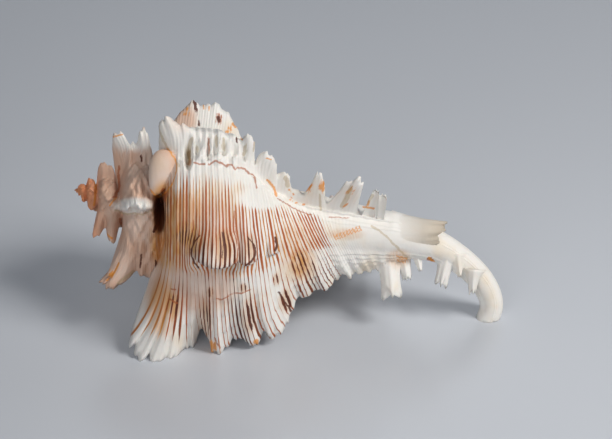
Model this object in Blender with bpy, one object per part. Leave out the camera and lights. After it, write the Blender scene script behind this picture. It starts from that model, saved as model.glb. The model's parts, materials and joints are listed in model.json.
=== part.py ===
"""Murex shell, one closed solid, resting on its fronds and the tip of its canal.

The shell is laid out on a front-view grid: "across" runs along the length, "down" runs down the front view
and "near" comes towards the front. One step of the grid is STEP metres. The coiling axis starts at the apex
and drops by PITCH; ROLL then turns the whole grid about the length, into the pose in which the shell rests.
"""

import math

import bpy
import numpy as np

SHELL_LENGTH = 0.180
LENGTH_IN_STEPS = 437.0
STEP = SHELL_LENGTH / LENGTH_IN_STEPS
APEX = (74.0, 190.0)
PITCH = math.radians(8.1)
ROLL = math.radians(28.0)
REST_LEVEL = -128.5
FOOTPRINT_CENTRE = (0.088891, 0.005729)

GROWTH = 0.10465
LIP_ANGLE = 165.0
SUTURE = 89.0
KNOB_EDGE = 168.0
CANAL_START = 318.0
STATIONS = 230
SPOKES = 200
FACETS_KEPT = 0.076
ROOT_DEPTH = 8.0
BLADE_ACROSS = 5
BLADE_RINGS = 5
FROND_CUP = 0.55
FROND_THICKNESS = 5.0
FROND_FLARE = 0.3
MOUTH_WALL = 12.0

PROFILE = (
    (90, 30), (93, 40), (96, 64), (101, 77), (109, 85), (122, 90), (150, 91), (168, 87), (182, 78),
    (196, 64), (210, 49), (224, 39), (240, 31), (262, 27), (300, 25), (340, 22), (400, 20),
)
SPIRE_PROFILE = (
    (89, 22), (93, 36), (98, 54), (104, 69), (112, 82), (124, 90), (150, 91), (168, 87), (182, 78),
    (196, 64), (210, 49), (224, 39), (240, 31), (262, 27), (300, 25), (340, 22), (400, 20),
)
CANAL_PATH = (
    (389, 234, 0), (412, 238, -1), (437, 246, -5), (461, 260, -12), (480, 277, -19),
    (491, 294, -25), (494, 309, -29), (489, 326, -33),
)
CANAL_RADIUS = ((318, 24), (345, 20), (370, 15.5), (392, 14), (420, 12.8), (450, 11.8), (470, 10.8), (488, 6))
SKIRT_EDGE = ((90, 119), (130, 114), (190, 112), (230, 108), (270, 106))
# Each row: seen foot (across, down), seen tip (across, down), angle about the axis, half width.
SKIRT_FINS = (
    ((166, 290), (132, 350), -75, 13), ((178, 292), (158, 360), -75, 13), ((196, 306), (192, 348), -86, 5),
    ((222, 310), (220, 353), -78, 12), ((240, 306), (246, 338), -78, 7), ((252, 302), (266, 346), -78, 12),
    ((268, 296), (279, 322), -79, 5), ((276, 286), (300, 335), -78, 12), ((290, 272), (316, 318), -79, 7),
    ((330, 262), (347, 288), -83, 6), ((348, 258), (366, 281), -83, 6),
)
CREST_FINS = (
    ((172, 165), (158, 121), 46, 9), ((182, 160), (172, 126), 47, 9), ((200, 158), (203, 137), 50, 5),
    ((219, 158), (220, 136), 50, 5), ((233, 160), (240, 138), 50, 6), ((247, 166), (257, 139), 48, 7),
    ((266, 182), (277, 159), 45, 9), ((282, 193), (289, 175), 44, 6), ((298, 204), (302, 194), 44, 5),
    ((314, 206), (319, 174), 44, 5), ((343, 208), (357, 181), 44, 9),
)
SPIRE_TOP_FINS = (
    ((126, 160), (119, 136), 62, 7), ((135, 158), (133, 144), 62, 6), ((146, 160), (145, 131), 64, 7),
)
SPIRE_LOW_FINS = (((132, 252), (113, 281), -70, 10), ((149, 254), (147, 274), -72, 7))
INNER_TOP_FINS = (((104, 180), (99, 163), 62, 5), ((111, 182), (111, 166), 62, 5))
INNER_LOW_FINS = (((100, 214), (95, 231), -62, 6), ((114, 224), (115, 241), -66, 5))
# Each row: cord at the middle, half width and height in cord units, degrees behind the lip, lean.
MOUTH_TABLE = (
    (97, 6.5, 40, 3, -0.25), (112, 4, 22, 3, -0.2), (127, 7, 43, 3, -0.15), (143, 4, 22, 3, -0.1),
    (158, 7, 41, 3, 0.0), (174, 4, 24, 3, 0.05), (190, 6, 34, 3, 0.1), (206, 4, 22, 3, 0.15),
    (226, 6.5, 34, 3, 0.2), (252, 6, 24, 3, 0.25), (280, 6, 16, 3, 0.3), (304, 6, 9, 3, 0.3),
)
MOUTH_SWING = ((90, 0.55), (170, 0.6), (220, 0.8), (300, 1.0))
# Each row: seen middle (across, down), half width and height there, rise.
FRONT_LUMPS = (
    (140, 176, 18, 22, 5), (136, 236, 16, 24, 4), (138, 205, 26, 8, 7), (109, 196, 11, 15, 4),
    (114, 231, 8, 13, 6), (192, 154, 5, 20, -15), (205, 158, 6, 8, 5), (222, 160, 9, 7, 5),
    (240, 162, 9, 7, 5), (161.5, 214, 5.0, 26, -34),
)
SKIRT_FRONDS = (
    ((384, 246), -78, (392, 296), -82, (15, 9, 12), 7.0),
    ((398, 252), -88, (408, 280), -92, (9, 6, 5), 3.0),
    ((414, 250), -84, (420, 271), -84, (6, 3, 2), 2.0),
    ((447, 256), -88, (441, 286), -92, (12, 6, 6), 6.0),
    ((456, 262), -84, (461, 278), -86, (7, 4, 2), 2.0),
    ((472, 277), -88, (472, 295), -92, (7, 4, 3), 3.0),
)
SPIRE_FRONDS = (
    ((140, 254), -70, (106, 283), -74, (12, 8, 6), 6.0),
)
CREST_FRONDS = (
    ((369, 214), 38, (375, 191), 46, (9, 6, 3), 2.0),
    ((379, 214), 38, (382, 195), 46, (5, 5, 4), 2.0),
)

AXIS = np.array([math.cos(PITCH), -math.sin(PITCH), 0.0])
NEAR = np.array([0.0, 0.0, 1.0])
RAISED = np.cross(NEAR, AXIS)


def smooth(value, start, end):
    ratio = np.clip((value - start) / (end - start), 0.0, 1.0)
    return ratio * ratio * (3.0 - 2.0 * ratio)


def hump(value, start, end, power=0.7):
    ratio = np.clip((value - start) / (end - start), 0.0, 1.0)
    return np.sin(math.pi * ratio) ** power


def from_table(value, table):
    places, values = zip(*table)
    return np.interp(value, places, values)


def ridge(back, front, rise, drop, power=1.7):
    """1 at the leading edge of a ridge, fading over "rise" degrees behind it and "drop" degrees ahead of it."""
    behind = back - front
    trailing = (1.0 - np.clip(behind / rise, 0.0, 1.0)) ** power
    leading = smooth(behind, -drop, 0.0)
    return np.where(behind >= 0.0, trailing, leading)


def waves(value, spacing, offset=0.0):
    return np.cos((value / spacing + offset) * 2.0 * math.pi)


def knob_lobes(u, back, front, rise):
    """The lobes of a knob, crisp at its leading edge and spread out behind it."""
    spread = 0.6 + 1.6 * np.clip((back - front) / rise, 0.0, 1.0)
    return 25.0 * hump(u, 123, 168, spread) + 19.0 * hump(u, 167, 184, spread) + 8.0 * hump(u, 192, 202, spread)


def frill(u, start, end):
    return (2.6 * waves(u, 14.0) + 1.4 * waves(u, 6.3, 0.3)) * hump(u, start, end, 0.4)


def peaks(u):
    return from_table(u, ((96, 0), (103, 15), (113, 24), (122, 35), (128, 33), (138, 30), (151, 36),
                          (160, 32), (172, 27), (184, 18), (194, 14), (204, 0)))


def fin_table(rows, turn):
    """Middle, half width and height in cord units, and the position and lean, of each fin of a row.

    A row of the input gives where the fin's foot and tip are seen in the front view, its angle and half width.
    """
    table = []
    for foot, tip, phi, half in rows:
        back = (phi - LIP_ANGLE) % 360.0 + 360.0 * turn
        scale = math.exp(GROWTH * math.radians(195.0 - back))
        foot_x, foot_r = seen_ray(*foot, phi)
        tip_x, tip_r = seen_ray(*tip, phi)
        lean = (tip_x - foot_x) / (tip_r - foot_r)
        surface, cord, _, _ = surface_at(np.array([foot_x]), np.array([float(phi)]), False)
        height = (tip_r - float(surface[0])) / scale
        table.append((float(cord[0]), half / scale, max(height, 2.0), back, lean))
    return sorted(table)


def fin_field(u, back, table, rise, drop, power=1.7):
    """Relief of a row of fins and its sideways share, in cord units."""
    middles, _, _, backs, leans = (np.array(column) for column in zip(*table))
    top = np.zeros_like(u)
    for middle, half, height, _, _ in table:
        shape = np.exp(-np.abs((u - middle) / half) ** 3.0)
        jags = 1.0 + (0.09 * waves(u, 0.62 * half, middle) + 0.05 * waves(u, 2.9, 0.2)) * smooth(shape, 0.3, 0.9)
        top = np.maximum(top, height * shape * jags)
    sheet = ridge(back, np.interp(u, middles, backs), rise, drop, power)
    top = top * smooth(u, 89.0, 97.0)
    return top * sheet, top * sheet**2.2 * np.interp(u, middles, leans)


def waist(u, back):
    """The narrowing of the last whorl between its last two varices."""
    return -25.0 * hump(u, 84, 236, 0.6) * hump(back, 12.0, 106.0, 0.7)


def last_whorl(u, back, fins):
    """Relief of the last whorl, its sideways share in cord units, and its swing about the axis in degrees."""
    edge = from_table(u, SKIRT_EDGE)
    mouth = (20.0 * hump(u, 88, 300, 0.6) + frill(u, 88, 300)) * ridge(back, 3.0, 46.0, 6.0)
    hidden_knob = 0.6 * peaks(u) * ridge(back, 48.0, 26.0, 6.0)
    skirt_height = 12.5 * hump(u, 70, 238, 0.5) + 12.0 * hump(u, 205, 345, 0.6)
    skirt = (skirt_height + 0.7 * frill(u, 80, 340)) * ridge(back, edge, 50.0, 9.0)
    knob = knob_lobes(u, back, KNOB_EDGE, 34.0) * ridge(back, KNOB_EDGE, 34.0, 4.0, 2.0)
    crest = (19.0 * hump(u, 84, 250, 0.45) + 0.5 * frill(u, 100, 250)) * ridge(back, 243.0, 40.0, 15.0)
    peak = (peaks(u) + 0.5 * frill(u, 100, 196)) * ridge(back, 287.0, 42.0, 6.0)
    slot = -9.0 * hump(u, 262, 470) * np.exp(-(((back - 347.0) / 9.0) ** 2))
    total = mouth + hidden_knob + waist(u, back) + skirt + knob + crest + peak + slot
    if not fins:
        return total, np.zeros_like(total), np.zeros_like(total)
    skirt_fins, skirt_shift = fin_field(u, back, SKIRT_TABLE, 34.0, 6.0)
    crest_fins, crest_shift = fin_field(u, back, CREST_TABLE, 17.0, 9.0, 1.3)
    mouth_fins, mouth_shift = fin_field(u, back, MOUTH_TABLE, 36.0, 6.0, 1.5)
    swing = mouth_fins * ridge(back, 3.0, 36.0, 6.0, 1.5) * from_table(u, MOUTH_SWING)
    return total + skirt_fins + crest_fins + mouth_fins, skirt_shift + crest_shift + mouth_shift, swing


def older_whorl(u, back, fins):
    """Relief of the whorls of the spire and its sideways share, in cord units."""
    crown = hump(u, 90, 182, 0.6)
    total = -26.0 * hump(u, 160, 190, 1.0)
    wrinkles = (2.4 * waves(u, 37.0, 0.2) + 1.6 * waves(u, 19.0) + 0.7 * waves(u, 9.0, 0.4)) * hump(u, 94, 182, 0.7)
    for front, height, rise in ((477, 36, 58), (549, 30, 44), (612, 28, 46), (664, 20, 40)):
        edge = front + 2.6 * waves(u, 33.0, 0.1) + 1.2 * waves(u, 15.0)
        total = total + (height * crown + wrinkles) * ridge(back, edge, rise, 8.0)
    for front in range(725, 2400, 62):
        edge = front + 3.0 * waves(u, 41.0, 0.01 * front)
        total = total + (24.0 * crown + wrinkles) * ridge(back, edge, 44.0, 9.0)
    if not fins:
        return total, np.zeros_like(total)
    shift = np.zeros_like(total)
    for table in (SPIRE_TOP, SPIRE_LOW, INNER_TOP, INNER_LOW):
        relief, sideways = fin_field(u, back, table, 34.0, 12.0)
        total = total + relief
        shift = shift + sideways
    return total, shift


def front_lumps(x, phi, r):
    """Lumps and hollows placed where they are seen in the front view."""
    turn = np.radians(phi)
    across = APEX[0] + AXIS[0] * x + RAISED[0] * r * np.sin(turn)
    down = APEX[1] - AXIS[1] * x - RAISED[1] * r * np.sin(turn)
    front = smooth(np.cos(turn), -0.05, 0.25)
    total = np.zeros_like(r)
    for middle_across, middle_down, half_across, half_down, rise in FRONT_LUMPS:
        distance = ((across - middle_across) / half_across) ** 2 + ((down - middle_down) / half_down) ** 2
        total = total + rise * np.clip(1.0 - distance, 0.0, 1.0) ** 1.3
    return total * front


def surface_at(x, phi, fins=True):
    """Distance from the coiling axis, cord coordinate, sideways shift and swing, at station x and angle phi."""
    shape = np.broadcast(x, phi).shape
    best = np.full(shape, 1.0)
    cord = np.zeros(shape)
    sideways = np.zeros(shape)
    swing = np.zeros(shape)
    for turn in range(7):
        back = (phi - LIP_ANGLE) % 360.0 + 360.0 * turn
        scale = np.exp(GROWTH * np.radians(195.0 - back))
        if turn == 0:
            u = x / scale
            scale = scale + (1.0 - scale) * smooth(u, 215.0, 300.0)
            lean = 15.0 * ridge(back, 100.0, 75.0, 10.0) * (1.0 - smooth(x, 100.0, 150.0))
            u = x / scale + lean
            relief, shift, turned = last_whorl(u, back, fins)
            base = from_table(u, PROFILE)
            canal = from_table(x, CANAL_RADIUS)
            base = base + (canal / scale - base) * smooth(x, CANAL_START - 30.0, CANAL_START)
        else:
            u = x / scale
            relief, shift = older_whorl(u, back, fins)
            turned = np.zeros_like(relief)
            base = from_table(u, SPIRE_PROFILE)
        whorl = np.where(u >= SUTURE, scale * (base + relief), 0.0)
        outer = whorl > best
        best = np.where(outer, whorl, best)
        cord = np.where(outer, u, cord)
        sideways = np.where(outer, scale * shift, sideways)
        swing = np.where(outer, turned, swing)
    if fins:
        best = np.maximum(best + front_lumps(x, phi, best), 1.0)
    return best, cord, sideways, swing


def grid_point(across, down, near):
    """(along, up, near) in the front view, from the apex."""
    return (across - APEX[0], APEX[1] - down, near)


def seen_ray(across, down, phi):
    """Station and radius of the point that is seen at (across, down) and stands at angle phi about the axis."""
    flat = np.array(grid_point(across, down, 0.0))
    return float(np.dot(flat, AXIS)), float(np.dot(flat, RAISED)) / math.sin(math.radians(phi))


def shell_point(x, phi, r):
    turn = math.radians(phi)
    return AXIS * x + r * (NEAR * math.cos(turn) + RAISED * math.sin(turn))


def to_world(points):
    """Front-view grid points turned into the resting pose, in metres."""
    points = np.asarray(points, float)
    along, up, near = points[:, 0], points[:, 1], points[:, 2]
    world = np.empty_like(points)
    world[:, 0] = along
    world[:, 1] = up * math.sin(ROLL) - near * math.cos(ROLL)
    world[:, 2] = up * math.cos(ROLL) + near * math.sin(ROLL) - REST_LEVEL
    world *= STEP
    world[:, :2] -= FOOTPRINT_CENTRE
    return world


def canal_curve(distance):
    """Places and directions along the canal, a smooth path through CANAL_PATH."""
    points = [np.array(grid_point(*row)) for row in CANAL_PATH]
    points.insert(0, 2 * points[0] - points[1])
    points.append(2 * points[-1] - points[-2])
    samples = []
    for i in range(1, len(points) - 2):
        before, start, end, after = points[i - 1 : i + 3]
        for t in np.linspace(0.0, 1.0, 24, endpoint=False):
            samples.append(
                0.5 * (2 * start + (end - before) * t + (2 * before - 5 * start + 4 * end - after) * t**2
                       + (3 * start - before - 3 * end + after) * t**3)
            )
    samples.append(points[-2])
    samples = np.array(samples)
    lengths = np.concatenate([[0.0], np.cumsum(np.linalg.norm(np.diff(samples, axis=0), axis=1))])
    place = np.array([np.interp(distance, lengths, samples[:, k]) for k in range(3)]).T
    ahead = np.array([np.interp(distance + 4.0, lengths, samples[:, k]) for k in range(3)]).T
    behind = np.array([np.interp(distance - 4.0, lengths, samples[:, k]) for k in range(3)]).T
    direction = ahead - behind
    direction /= np.linalg.norm(direction, axis=1)[:, None]
    return place, direction, lengths[-1]


def lofted(rings, first_tip, last_tip):
    """Points and faces of a closed skin over rings of points, with a single point at each end."""
    count = len(rings[0])
    points = [first_tip] + [point for ring in rings for point in ring] + [last_tip]
    faces = []
    for k in range(count):
        after = (k + 1) % count
        faces.append((0, 1 + after, 1 + k))
        for i in range(len(rings) - 1):
            low = 1 + i * count
            high = low + count
            faces.append((low + k, low + after, high + after))
            faces.append((low + k, high + after, high + k))
        last = 1 + (len(rings) - 1) * count
        faces.append((len(points) - 1, last + k, last + after))
    return points, faces


def outward(points, faces):
    """Faces turned so that the solid has a positive volume once the grid is turned into the resting pose."""
    points = np.asarray(points, float)
    corners = points[np.asarray(faces)]
    volume = np.einsum("ij,ij->i", corners[:, 0], np.cross(corners[:, 1], corners[:, 2])).sum()
    if volume > 0:
        return faces
    return [face[::-1] for face in faces]


def add_object(name, points, faces):
    mesh = bpy.data.meshes.new(name)
    mesh.from_pydata([tuple(point) for point in to_world(points)], [], outward(points, faces))
    mesh.update()
    made = bpy.data.objects.new(name, mesh)
    bpy.context.scene.collection.objects.link(made)
    return made


def body():
    straight = np.concatenate([np.linspace(2.0, 130.0, int(STATIONS * 0.42), endpoint=False),
                               np.linspace(130.0, CANAL_START, int(STATIONS * 0.40), endpoint=False)])
    _, _, canal_length = canal_curve(np.array([0.0]))
    bent = np.linspace(0.0, canal_length, STATIONS - len(straight))
    phis = np.linspace(0.0, 360.0, SPOKES, endpoint=False) + 0.4
    turns = np.radians(phis)
    rings = []
    for x in straight:
        r, _, shift, swing = surface_at(np.full_like(phis, x), phis)
        swung = turns + np.radians(swing)
        spokes = np.cos(swung)[:, None] * NEAR + np.sin(swung)[:, None] * RAISED
        rings.append(AXIS * (x + shift)[:, None] + r[:, None] * spokes)
    places, directions, _ = canal_curve(bent)
    for distance, place, direction in zip(bent, places, directions):
        side = NEAR - direction * np.dot(NEAR, direction)
        side /= np.linalg.norm(side)
        raised = np.cross(side, direction)
        r, _, _, _ = surface_at(np.full_like(phis, CANAL_START + distance), phis)
        rings.append(place + r[:, None] * (np.cos(turns)[:, None] * side + np.sin(turns)[:, None] * raised))
    points, faces = lofted(rings, np.zeros(3), places[-1])
    return add_object("shell", points, faces)


def scatter(seed):
    value = math.sin(seed * 12.9898 + 4.1) * 43758.5453
    return value - math.floor(value)


def blade(name, base, tip, bow, widths, cup, thick, tooth, seed, flare, ahead):
    """A channelled frond from base to tip, cupped towards the leading side of its varix."""
    base = np.array(base, float)
    tip = np.array(tip, float)
    bend = (base + tip) / 2 + np.array(bow, float)
    ahead = np.array(ahead, float)
    rings = []
    for t in np.linspace(0.0, 1.0, BLADE_RINGS):
        spine = (1 - t) ** 2 * base + 2 * t * (1 - t) * bend + t * t * tip
        tangent = 2 * (1 - t) * (bend - base) + 2 * t * (tip - bend)
        tangent /= np.linalg.norm(tangent)
        front = ahead - tangent * np.dot(ahead, tangent)
        front /= np.linalg.norm(front)
        wide = np.cross(tangent, front)
        half = np.interp(t, (0.0, 0.55, 1.0), widths)
        depth = thick * (1.0 - 0.55 * t)
        outer = []
        inner = []
        for k, q in enumerate(np.linspace(-1.0, 1.0, BLADE_ACROSS)):
            jag = tooth * t**3 * (scatter(seed * 7 + k) - 0.6 + 0.3 * math.cos(3 * math.pi * q))
            fold = cup * half * (q * q - 0.4) + flare * t * t * half * abs(q)
            place = spine + wide * half * q + front * fold + tangent * jag
            edge = depth * (1.0 - 0.6 * q * q)
            outer.append(place - front * edge * 0.5)
            inner.append(place + front * edge * 0.5)
        rings.append(outer + inner[::-1])
    points, faces = lofted(rings, np.mean(rings[0], axis=0), np.mean(rings[-1], axis=0))
    return add_object(name, points, faces)


def leading(phi):
    turn = math.radians(phi)
    return NEAR * math.sin(turn) - RAISED * math.cos(turn)


def from_front(across, down, phi):
    """The grid point seen at (across, down) in the front view that stands at angle phi about the axis."""
    x, r = seen_ray(across, down, phi)
    return shell_point(x, phi, r)


SKIRT_TABLE = fin_table(SKIRT_FINS, 0)
CREST_TABLE = fin_table(CREST_FINS, 0)
SPIRE_TOP = fin_table(SPIRE_TOP_FINS, 1)
SPIRE_LOW = fin_table(SPIRE_LOW_FINS, 1)
INNER_TOP = fin_table(INNER_TOP_FINS, 2)
INNER_LOW = fin_table(INNER_LOW_FINS, 2)


def frond_row(name, rows):
    made = []
    for i, (base, base_phi, tip, tip_phi, widths, tooth) in enumerate(rows):
        root = from_front(*base, base_phi)
        end = from_front(*tip, tip_phi)
        from_axis = root - AXIS * np.dot(root, AXIS)
        root = root - from_axis * (ROOT_DEPTH / np.linalg.norm(from_axis))
        bow = from_axis * 0.05
        made.append(
            blade(f"{name}_{i}", root, end, bow, widths, FROND_CUP, FROND_THICKNESS, tooth, i + 3, FROND_FLARE,
                  leading(base_phi))
        )
    return made


def lobe(name, across, down, phi, sizes, turned):
    """A smooth egg: half length, half width and half depth, turned in the front view."""
    centre = np.array(from_front(across, down, phi))
    turn = math.radians(turned)
    long = np.array([math.cos(turn), math.sin(turn), 0.0])
    wide = np.array([-math.sin(turn), math.cos(turn), 0.0])
    rings = []
    for share in np.linspace(0.0, math.pi, 9)[1:-1]:
        place = centre + long * (-math.cos(share) * sizes[0])
        size = math.sin(share) * (1.0 - 0.24 * math.cos(share + 0.3))
        angles = np.linspace(0.0, 2 * math.pi, 14, endpoint=False)
        rings.append([place + size * (wide * sizes[1] * math.cos(a) + NEAR * sizes[2] * math.sin(a)) for a in angles])
    points, faces = lofted(rings, centre - long * sizes[0], centre + long * sizes[0])
    return add_object(name, points, faces)


def old_canal():
    """The broken end of an earlier canal, a tube open at its end."""
    start = np.array(grid_point(366, 234, -3))
    end = np.array(grid_point(444, 233, 10))
    shares = (0.0, 0.12, 0.25, 0.5, 0.75, 1.0, 1.0, 0.8, 0.62)
    radii = (12, 20, 22, 19, 14.5, 11.5, 9.5, 8.5, 5.0)
    direction = (end - start) / np.linalg.norm(end - start)
    side = NEAR - direction * np.dot(NEAR, direction)
    side /= np.linalg.norm(side)
    raised = np.cross(side, direction)
    turns = np.linspace(0.0, 2 * math.pi, 24, endpoint=False)
    rings = []
    for share, radius in zip(shares, radii):
        place = start + (end - start) * share
        rings.append([place + radius * (math.cos(a) * side + math.sin(a) * raised) for a in turns])
    points, faces = lofted(rings, start, start + (end - start) * shares[-1])
    return add_object("old_canal", points, faces)


def mouth_cutter():
    """The hollow of the last half turn: a section between the older whorl and the inside of the outer wall."""
    rings = []
    backs = (-26.0, -12.0, -2.0, 12.0, 30.0, 50.0, 72.0, 94.0, 116.0, 136.0)
    shrink = (1.0, 1.0, 1.0, 0.97, 0.93, 0.87, 0.78, 0.66, 0.5, 0.3)
    u = np.linspace(103.0, 214.0, 11)
    for back, ratio in zip(backs, shrink):
        scale = math.exp(GROWTH * math.radians(195.0 - max(back, 0.0)))
        inner_scale = scale * math.exp(-GROWTH * 2 * math.pi)
        outer = scale * (from_table(u, PROFILE) + waist(u, back)) - MOUTH_WALL
        inner_u = u * scale / inner_scale
        inner = inner_scale * from_table(inner_u, PROFILE) + 3.5
        inner = np.where(inner_u > 225.0, np.maximum(inner, 15.0), inner)
        outer = np.maximum(outer, inner + 6.0)
        loop = [(scale * a, b) for a, b in zip(u, outer)]
        loop += [(scale * a, b) for a, b in zip(u[::-1], inner[::-1])]
        loop = np.array(loop)
        centre = loop.mean(axis=0)
        loop = centre + (loop - centre) * ratio
        rings.append([shell_point(a, LIP_ANGLE + back, b) for a, b in loop])
    points, faces = lofted(rings, np.mean(rings[0], axis=0), np.mean(rings[-1], axis=0))
    return add_object("mouth_hollow", points, faces)


def floor_cutter():
    """A block below the resting plane: it leaves the small flats that the shell stands on."""
    size = 0.4
    mesh = bpy.data.meshes.new("resting_plane")
    corners = [(x, y, z) for z in (-size, 0.0) for y in (-size, size) for x in (-size, size)]
    faces = [(0, 2, 3, 1), (4, 5, 7, 6), (0, 1, 5, 4), (2, 6, 7, 3), (0, 4, 6, 2), (1, 3, 7, 5)]
    mesh.from_pydata(corners, [], faces)
    made = bpy.data.objects.new("resting_plane", mesh)
    bpy.context.scene.collection.objects.link(made)
    return made


def combine(target, helper, operation):
    """Joins or cuts with the fast solver: the exact one leaves open edges where fronds cross at a grazing angle."""
    step = target.modifiers.new(helper.name, "BOOLEAN")
    step.operation = operation
    step.solver = "MANIFOLD"
    step.object = helper
    helper.hide_render = True
    helper.display_type = "WIRE"


def shell_material():
    material = bpy.data.materials.new("shell")
    material.use_nodes = True
    surface = material.node_tree.nodes["Principled BSDF"]
    surface.inputs["Base Color"].default_value = (0.80, 0.66, 0.52, 1.0)
    surface.inputs["Roughness"].default_value = 0.38
    return material


def main():
    for old in list(bpy.data.objects):
        bpy.data.objects.remove(old, do_unlink=True)
    shell = body()
    thin = shell.modifiers.new("facets", "DECIMATE")
    thin.ratio = FACETS_KEPT
    combine(shell, mouth_cutter(), "DIFFERENCE")
    fronds = frond_row("skirt_frond", SKIRT_FRONDS) + frond_row("crest_frond", CREST_FRONDS)
    fronds += frond_row("spire_frond", SPIRE_FRONDS)
    fronds.append(lobe("shoulder_lobe", 166, 173, 25, (24, 14.5, 10), 76))
    fronds.append(old_canal())
    for frond in fronds:
        combine(shell, frond, "UNION")
    combine(shell, floor_cutter(), "DIFFERENCE")
    shell.data.materials.append(shell_material())


main()
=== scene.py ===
"""Looks of the murex shell: its fine skin, colours and gloss, and the floor, lights and camera around it.

The shell is laid out on a front-view grid: "across" runs along the length, "down" runs down the front view
and "near" comes towards the front. One step of the grid is STEP metres. The coiling axis starts at the apex
and drops by PITCH; ROLL then turns the whole grid about the length, into the pose in which the shell rests.
"""

import math
from types import SimpleNamespace

import bpy
import numpy as np
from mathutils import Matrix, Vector
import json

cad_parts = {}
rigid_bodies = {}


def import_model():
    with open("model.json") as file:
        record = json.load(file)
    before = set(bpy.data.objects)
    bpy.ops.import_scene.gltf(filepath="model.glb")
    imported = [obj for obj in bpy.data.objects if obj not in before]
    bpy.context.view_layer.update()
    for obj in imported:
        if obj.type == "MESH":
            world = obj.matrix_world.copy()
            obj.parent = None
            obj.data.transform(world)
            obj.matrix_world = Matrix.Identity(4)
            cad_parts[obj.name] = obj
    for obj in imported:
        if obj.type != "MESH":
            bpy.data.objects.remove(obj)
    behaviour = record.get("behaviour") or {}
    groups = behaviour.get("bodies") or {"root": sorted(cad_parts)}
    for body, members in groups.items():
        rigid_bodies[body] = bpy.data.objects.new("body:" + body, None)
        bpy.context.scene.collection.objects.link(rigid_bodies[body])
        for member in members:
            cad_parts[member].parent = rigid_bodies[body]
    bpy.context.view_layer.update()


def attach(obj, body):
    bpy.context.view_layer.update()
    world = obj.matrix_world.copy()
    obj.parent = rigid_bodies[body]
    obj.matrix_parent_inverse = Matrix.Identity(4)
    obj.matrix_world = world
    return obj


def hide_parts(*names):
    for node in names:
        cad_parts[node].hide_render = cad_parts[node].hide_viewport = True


SHELL_LENGTH = 0.180
LENGTH_IN_STEPS = 437.0
STEP = SHELL_LENGTH / LENGTH_IN_STEPS
APEX = (74.0, 190.0)
PITCH = math.radians(8.1)
ROLL = math.radians(28.0)
REST_LEVEL = -128.5
FOOTPRINT_CENTRE = (0.088891, 0.005729)

# Growth of the spiral for each radian, angle of the lip about the axis, first cord, leading edge of the
# knob in degrees behind the lip, and station where the canal begins to bend.
GROWTH = 0.10465
LIP_ANGLE = 165.0
SUTURE = 89.0
KNOB_EDGE = 168.0
CANAL_START = 318.0

STATIONS = 290
SPOKES = 268
ROOT_DEPTH = 8.0
MOUTH_WALL = 12.0
BLADE_ACROSS = 13
BLADE_RINGS = 11
FROND_CUP = 0.55
FROND_THICKNESS = 5.0
FROND_FLARE = 0.3

# Each row: cord, or station for the canal, and radius.
PROFILE = (
    (90, 30), (93, 40), (96, 64), (101, 77), (109, 85), (122, 90), (150, 91), (168, 87), (182, 78),
    (196, 64), (210, 49), (224, 39), (240, 31), (262, 27), (300, 25), (340, 22), (400, 20),
)
SPIRE_PROFILE = ((89, 22), (93, 36), (98, 54), (104, 69), (112, 82), (124, 90), *PROFILE[6:])
CANAL_RADIUS = (
    (318, 24), (345, 20), (370, 15.5), (392, 14), (420, 12.8), (450, 11.8), (470, 10.8), (488, 6),
)
# Seen places (across, down) with their distance towards the front.
CANAL_PATH = (
    (389, 234, 0), (412, 238, -1), (437, 246, -5), (461, 260, -12), (480, 277, -19),
    (491, 294, -25), (494, 309, -29), (489, 326, -33),
)
OLD_CANAL_START = (366, 234, -3)
OLD_CANAL_END = (444, 233, 10)
# The shoulder lobe: seen place and angle about the axis, half length, width and depth, turn in the
# front view, and its (cord, degrees behind the lip).
LOBE_PLACE = (165, 174, 25)
LOBE_SIZES = (23, 12.6, 8.6)
LOBE_TURNED = 73
LOBE_CORD = (80.0, 400.0)

CORD_SPACING = 3.2

AXIS = np.array([math.cos(PITCH), -math.sin(PITCH), 0.0])
NEAR = np.array([0.0, 0.0, 1.0])
RAISED = np.cross(NEAR, AXIS)


def smooth(value, start, end):
    ratio = np.clip((value - start) / (end - start), 0.0, 1.0)
    return ratio * ratio * (3.0 - 2.0 * ratio)


def hump(value, start, end, power=0.7):
    ratio = np.clip((value - start) / (end - start), 0.0, 1.0)
    return np.sin(math.pi * ratio) ** power


def from_table(value, table):
    places, values = zip(*table)
    return np.interp(value, places, values)


def ridge(back, front, rise, drop, power=1.7):
    """1 at the leading edge of a ridge, fading over rise degrees behind it and drop degrees ahead."""
    behind = back - front
    trailing = (1.0 - np.clip(behind / rise, 0.0, 1.0)) ** power
    leading = smooth(behind, -drop, 0.0)
    return np.where(behind >= 0.0, trailing, leading)


def waves(value, spacing, offset=0.0):
    return np.cos((value / spacing + offset) * 2.0 * math.pi)


def ripple(value, seed):
    """A smooth irregular curve, a sum of a few waves."""
    total = 0.0
    for k, (spacing, height) in enumerate(((31.0, 0.5), (17.3, 0.3), (9.7, 0.2))):
        total = total + height * waves(value, spacing, 0.37 * seed + 0.21 * k * seed)
    return total


def knob_lobes(u, back, front, rise):
    """The lobes of a knob, crisp at its leading edge and spread out behind it."""
    spread = 0.6 + 1.6 * np.clip((back - front) / rise, 0.0, 1.0)
    lobes = ((25.0, 123, 168), (19.0, 167, 184), (8.0, 192, 202))
    return sum(height * hump(u, start, end, spread) for height, start, end in lobes)


def frill(u, start, end):
    return (2.6 * waves(u, 14.0) + 1.4 * waves(u, 6.3, 0.3)) * hump(u, start, end, 0.4)


def peaks(u):
    return from_table(u, ((96, 0), (103, 15), (113, 24), (122, 35), (128, 33), (138, 30), (151, 36),
                          (160, 32), (172, 27), (184, 18), (194, 14), (204, 0)))


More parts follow.
